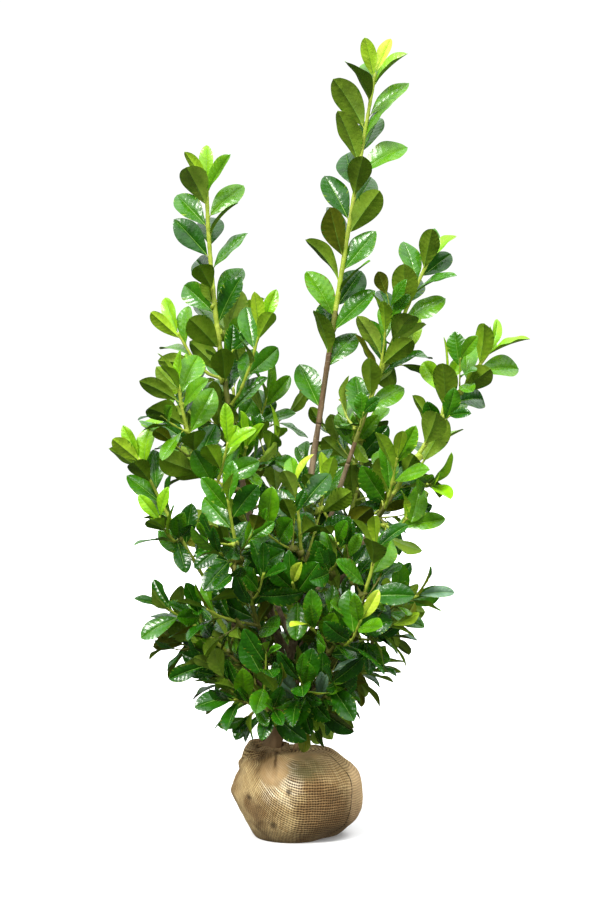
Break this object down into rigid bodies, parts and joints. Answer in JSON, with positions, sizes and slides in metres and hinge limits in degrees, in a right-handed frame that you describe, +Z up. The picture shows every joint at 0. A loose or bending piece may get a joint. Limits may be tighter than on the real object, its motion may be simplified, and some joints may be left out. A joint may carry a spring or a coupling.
{
  "type": "root-balled cherry laurel shrub",
  "caption": "Tall bushy evergreen shrub with upright leafy shoots on a short leaning trunk, standing on a rounded root ball wrapped in hessian.",
  "frame": {"origin": "middle of the root ball's flat underside", "axes": "+Z up; +X to the right of the side that the picture shows; -Y towards the viewer of that side"},
  "size_m": [0.9974, 0.7671, 1.9214],
  "materials": {
    "foliage": "glossy green leaves on green twigs",
    "bark": "smooth grey-brown bark",
    "hessian": "coarse woven hessian"
  },
  "bodies": {
    "root": {"bough_back_left": "bark", "bough_back_right": "bark", "bough_left_mid": "bark", "bough_left_outer": "bark", "bough_left_tall": "bark", "bough_right_mid": "bark", "bough_right_outer": "bark", "foliage_back_left": "foliage", "foliage_back_mid": "foliage", "foliage_back_right": "foliage", "foliage_front_left": "foliage", "foliage_front_mid": "foliage", "foliage_front_right": "foliage", "foliage_leader": "foliage", "foliage_left_mid": "foliage", "foliage_left_outer": "foliage", "foliage_left_tall": "foliage", "foliage_low_back": "foliage", "foliage_low_back_left": "foliage", "foliage_low_front": "foliage", "foliage_low_front_left": "foliage", "foliage_low_left": "foliage", "foliage_low_right": "foliage", "foliage_low_right_back": "foliage", "foliage_right_mid": "foliage", "foliage_right_outer": "foliage", "hessian_collar": "hessian", "root_ball": "hessian", "trunk": "bark"}
  },
  "joints": []
}
